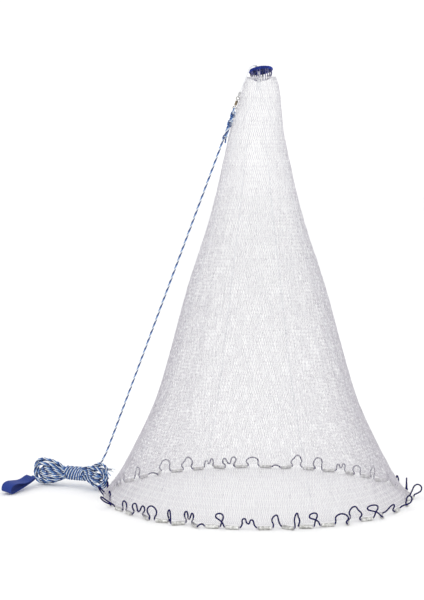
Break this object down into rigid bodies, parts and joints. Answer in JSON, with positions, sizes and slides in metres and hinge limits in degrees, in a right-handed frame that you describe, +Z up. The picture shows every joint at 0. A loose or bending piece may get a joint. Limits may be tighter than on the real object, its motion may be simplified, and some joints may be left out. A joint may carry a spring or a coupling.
{
  "type": "cast net",
  "caption": "Bell-shaped cast net hung by its horn, with a weighted lead line, swivel, coiled hand line and wrist strap.",
  "frame": {"origin": "centre of the horn, the point the net is hung by; the sinkers touch the ground 1.105 m below it", "axes": "+Z up, out of the horn; +X to the side away from the hand line; -Y is the front"},
  "size_m": [1.1022, 0.8128, 1.1187],
  "materials": {
    "netting": "knotted clear-white nylon monofilament netting",
    "horn_plastic": "moulded, satin",
    "blue_twine": "tightly wound twine",
    "navy_twine": "laid twine",
    "lead_line_twine": "laid navy cord",
    "sinker_metal": "rolled tube, dull silver",
    "monofilament": "clear nylon line",
    "crimp_metal": "pressed sleeve",
    "swivel_wire": "plated wire",
    "swivel_brass": "dull brass",
    "hand_line_rope": "laid rope, blue and white strands",
    "strap_webbing": "woven webbing"
  },
  "bodies": {
    "net": {"horn_ring": "horn_plastic", "horn_binding": "blue_twine", "crown_lashing": "navy_twine", "lead_line": "lead_line_twine", "braille_lines": "monofilament", "braille_crimp": "crimp_metal", "swivel_upper_eye": "swivel_wire", "swivel_lower_eye": "swivel_wire", "hand_line_knot": "hand_line_rope", "hand_line_run": "hand_line_rope", "hand_line_hank": "hand_line_rope", "wrist_strap": "strap_webbing", "strap_knot": "hand_line_rope", "net_upper": "netting", "net_skirt": "netting"},
    "swivel_barrel": {"swivel_barrel": "swivel_brass"},
    "sinker_01": {"sinker_01": "sinker_metal"},
    "sinker_02": {"sinker_02": "sinker_metal"},
    "sinker_03": {"sinker_03": "sinker_metal"},
    "sinker_04": {"sinker_04": "sinker_metal"},
    "sinker_05": {"sinker_05": "sinker_metal"},
    "sinker_06": {"sinker_06": "sinker_metal"},
    "sinker_07": {"sinker_07": "sinker_metal"},
    "sinker_08": {"sinker_08": "sinker_metal"},
    "sinker_09": {"sinker_09": "sinker_metal"},
    "sinker_10": {"sinker_10": "sinker_metal"},
    "sinker_11": {"sinker_11": "sinker_metal"},
    "sinker_12": {"sinker_12": "sinker_metal"},
    "sinker_13": {"sinker_13": "sinker_metal"},
    "sinker_14": {"sinker_14": "sinker_metal"},
    "sinker_15": {"sinker_15": "sinker_metal"},
    "sinker_16": {"sinker_16": "sinker_metal"},
    "sinker_17": {"sinker_17": "sinker_metal"},
    "sinker_18": {"sinker_18": "sinker_metal"},
    "sinker_19": {"sinker_19": "sinker_metal"},
    "sinker_20": {"sinker_20": "sinker_metal"},
    "sinker_21": {"sinker_21": "sinker_metal"},
    "sinker_22": {"sinker_22": "sinker_metal"},
    "sinker_23": {"sinker_23": "sinker_metal"},
    "sinker_24": {"sinker_24": "sinker_metal"},
    "sinker_25": {"sinker_25": "sinker_metal"},
    "sinker_26": {"sinker_26": "sinker_metal"},
    "sinker_27": {"sinker_27": "sinker_metal"},
    "sinker_28": {"sinker_28": "sinker_metal"},
    "sinker_29": {"sinker_29": "sinker_metal"},
    "sinker_30": {"sinker_30": "sinker_metal"},
    "sinker_31": {"sinker_31": "sinker_metal"},
    "sinker_32": {"sinker_32": "sinker_metal"},
    "sinker_33": {"sinker_33": "sinker_metal"},
    "sinker_34": {"sinker_34": "sinker_metal"},
    "sinker_35": {"sinker_35": "sinker_metal"},
    "sinker_36": {"sinker_36": "sinker_metal"},
    "sinker_37": {"sinker_37": "sinker_metal"},
    "sinker_38": {"sinker_38": "sinker_metal"},
    "sinker_39": {"sinker_39": "sinker_metal"},
    "sinker_40": {"sinker_40": "sinker_metal"}
  },
  "joints": [
    {"name": "sinker_01_spin", "type": "hinge", "parent": "net", "child": "sinker_01", "pos_m": [-0.35349, -0.18984, -1.10025], "axis": [0.5736, -0.8192, 0], "continuous": true},
    {"name": "sinker_02_spin", "type": "hinge", "parent": "net", "child": "sinker_02", "pos_m": [-0.32485, -0.2365, -1.10025], "axis": [0.454, -0.891, 0], "continuous": true},
    {"name": "sinker_03_spin", "type": "hinge", "parent": "net", "child": "sinker_03", "pos_m": [-0.27784, -0.29121, -1.10025], "axis": [0.3987, -0.9171, 0], "continuous": true},
    {"name": "sinker_04_spin", "type": "hinge", "parent": "net", "child": "sinker_04", "pos_m": [-0.23836, -0.3247, -1.10025], "axis": [0.9563, -0.2924, 0], "continuous": true},
    {"name": "sinker_05_spin", "type": "hinge", "parent": "net", "child": "sinker_05", "pos_m": [-0.19765, -0.35104, -1.10025], "axis": [0.9511, 0.309, 0], "continuous": true},
    {"name": "sinker_06_spin", "type": "hinge", "parent": "net", "child": "sinker_06", "pos_m": [-0.15706, -0.37079, -1.10025], "axis": [0.3502, -0.9367, 0], "continuous": true},
    {"name": "sinker_07_spin", "type": "hinge", "parent": "net", "child": "sinker_07", "pos_m": [-0.11434, -0.38566, -1.10025], "axis": [0.9816, -0.1908, 0], "continuous": true},
    {"name": "sinker_08_spin", "type": "hinge", "parent": "net", "child": "sinker_08", "pos_m": [-0.06664, -0.3959, -1.10025], "axis": [0.9816, -0.1908, 0], "continuous": true},
    {"name": "sinker_09_spin", "type": "hinge", "parent": "net", "child": "sinker_09", "pos_m": [0.01133, -0.39938, -1.10025], "axis": [0.9959, 0.0906, 0], "continuous": true},
    {"name": "sinker_10_spin", "type": "hinge", "parent": "net", "child": "sinker_10", "pos_m": [0.06669, -0.39238, -1.10025], "axis": [0.8211, -0.5707, 0], "continuous": true},
    {"name": "sinker_11_spin", "type": "hinge", "parent": "net", "child": "sinker_11", "pos_m": [0.10995, -0.38128, -1.10025], "axis": [0.9991, -0.0419, 0], "continuous": true},
    {"name": "sinker_12_spin", "type": "hinge", "parent": "net", "child": "sinker_12", "pos_m": [0.16183, -0.36073, -1.10025], "axis": [0.9532, 0.3024, 0], "continuous": true},
    {"name": "sinker_13_spin", "type": "hinge", "parent": "net", "child": "sinker_13", "pos_m": [0.21152, -0.33239, -1.10025], "axis": [0.0384, 0.9993, 0], "continuous": true},
    {"name": "sinker_14_spin", "type": "hinge", "parent": "net", "child": "sinker_14", "pos_m": [0.26026, -0.29397, -1.10025], "axis": [0.8415, 0.5402, 0], "continuous": true},
    {"name": "sinker_15_spin", "type": "hinge", "parent": "net", "child": "sinker_15", "pos_m": [0.29986, -0.25173, -1.10025], "axis": [-0.0872, 0.9962, 0], "continuous": true},
    {"name": "sinker_16_spin", "type": "hinge", "parent": "net", "child": "sinker_16", "pos_m": [0.34218, -0.18779, -1.10025], "axis": [0.342, 0.9397, 0], "continuous": true},
    {"name": "sinker_17_spin", "type": "hinge", "parent": "net", "child": "sinker_17", "pos_m": [0.37445, -0.1069, -1.10025], "axis": [0.061, 0.9981, 0], "continuous": true},
    {"name": "sinker_18_spin", "type": "hinge", "parent": "net", "child": "sinker_18", "pos_m": [0.38681, -0.04181, -1.10025], "axis": [0.6561, 0.7547, 0], "continuous": true},
    {"name": "sinker_19_spin", "type": "hinge", "parent": "net", "child": "sinker_19", "pos_m": [0.38825, 0.02442, -1.10025], "axis": [-0.2334, 0.9724, 0], "continuous": true},
    {"name": "sinker_20_spin", "type": "hinge", "parent": "net", "child": "sinker_20", "pos_m": [0.37952, 0.08658, -1.10025], "axis": [-0.6494, 0.7604, 0], "continuous": true},
    {"name": "sinker_21_spin", "type": "hinge", "parent": "net", "child": "sinker_21", "pos_m": [0.35987, 0.14984, -1.10025], "axis": [-0.2419, 0.9703, 0], "continuous": true},
    {"name": "sinker_22_spin", "type": "hinge", "parent": "net", "child": "sinker_22", "pos_m": [0.33187, 0.20602, -1.10025], "axis": [-0.9877, 0.1564, 0], "continuous": true},
    {"name": "sinker_23_spin", "type": "hinge", "parent": "net", "child": "sinker_23", "pos_m": [0.29316, 0.25978, -1.10025], "axis": [-0.7254, 0.6884, 0], "continuous": true},
    {"name": "sinker_24_spin", "type": "hinge", "parent": "net", "child": "sinker_24", "pos_m": [0.25142, 0.30188, -1.10025], "axis": [-0.5736, 0.8192, 0], "continuous": true},
    {"name": "sinker_25_spin", "type": "hinge", "parent": "net", "child": "sinker_25", "pos_m": [0.19501, 0.34287, -1.10025], "axis": [-0.9925, 0.1219, 0], "continuous": true},
    {"name": "sinker_26_spin", "type": "hinge", "parent": "net", "child": "sinker_26", "pos_m": [0.13884, 0.37087, -1.10025], "axis": [-0.8829, 0.4695, 0], "continuous": true},
    {"name": "sinker_27_spin", "type": "hinge", "parent": "net", "child": "sinker_27", "pos_m": [0.07558, 0.39052, -1.10025], "axis": [-0.8526, -0.5225, 0], "continuous": true},
    {"name": "sinker_28_spin", "type": "hinge", "parent": "net", "child": "sinker_28", "pos_m": [0.0169, 0.39903, -1.10025], "axis": [-0.9703, 0.2419, 0], "continuous": true},
    {"name": "sinker_29_spin", "type": "hinge", "parent": "net", "child": "sinker_29", "pos_m": [-0.0528, 0.39769, -1.10025], "axis": [-0.9816, -0.1908, 0], "continuous": true},
    {"name": "sinker_30_spin", "type": "hinge", "parent": "net", "child": "sinker_30", "pos_m": [-0.11434, 0.38566, -1.10025], "axis": [-0.9205, 0.3907, 0], "continuous": true},
    {"name": "sinker_31_spin", "type": "hinge", "parent": "net", "child": "sinker_31", "pos_m": [-0.17295, 0.36376, -1.10025], "axis": [-0.809, -0.5878, 0], "continuous": true},
    {"name": "sinker_32_spin", "type": "hinge", "parent": "net", "child": "sinker_32", "pos_m": [-0.23275, 0.32876, -1.10025], "axis": [-0.8829, -0.4695, 0], "continuous": true},
    {"name": "sinker_33_spin", "type": "hinge", "parent": "net", "child": "sinker_33", "pos_m": [-0.28031, 0.2888, -1.10025], "axis": [-0.1219, -0.9925, 0], "continuous": true},
    {"name": "sinker_34_spin", "type": "hinge", "parent": "net", "child": "sinker_34", "pos_m": [-0.32082, 0.24206, -1.10025], "axis": [-0.5, -0.866, 0], "continuous": true},
    {"name": "sinker_35_spin", "type": "hinge", "parent": "net", "child": "sinker_35", "pos_m": [-0.35661, 0.18376, -1.10025], "axis": [-0.6428, -0.766, 0], "continuous": true},
    {"name": "sinker_36_spin", "type": "hinge", "parent": "net", "child": "sinker_36", "pos_m": [-0.37991, 0.12703, -1.10025], "axis": [-0.1564, -0.9877, 0], "continuous": true},
    {"name": "sinker_37_spin", "type": "hinge", "parent": "net", "child": "sinker_37", "pos_m": [-0.39496, 0.06425, -1.10025], "axis": [-0.3987, -0.9171, 0], "continuous": true},
    {"name": "sinker_38_spin", "type": "hinge", "parent": "net", "child": "sinker_38", "pos_m": [-0.4, 0, -1.10025], "axis": [0.1045, -0.9945, 0], "continuous": true},
    {"name": "sinker_39_spin", "type": "hinge", "parent": "net", "child": "sinker_39", "pos_m": [-0.39496, -0.06425, -1.10025], "axis": [0.4617, -0.887, 0], "continuous": true},
    {"name": "sinker_40_spin", "type": "hinge", "parent": "net", "child": "sinker_40", "pos_m": [-0.37991, -0.12703, -1.10025], "axis": [0.1219, -0.9925, 0], "continuous": true},
    {"name": "swivel_spin", "type": "hinge", "parent": "net", "child": "swivel_barrel", "pos_m": [-0.0625, -0.04, -0.084], "axis": [0.3299, -0.2571, 0.9083], "continuous": true}
  ]
}
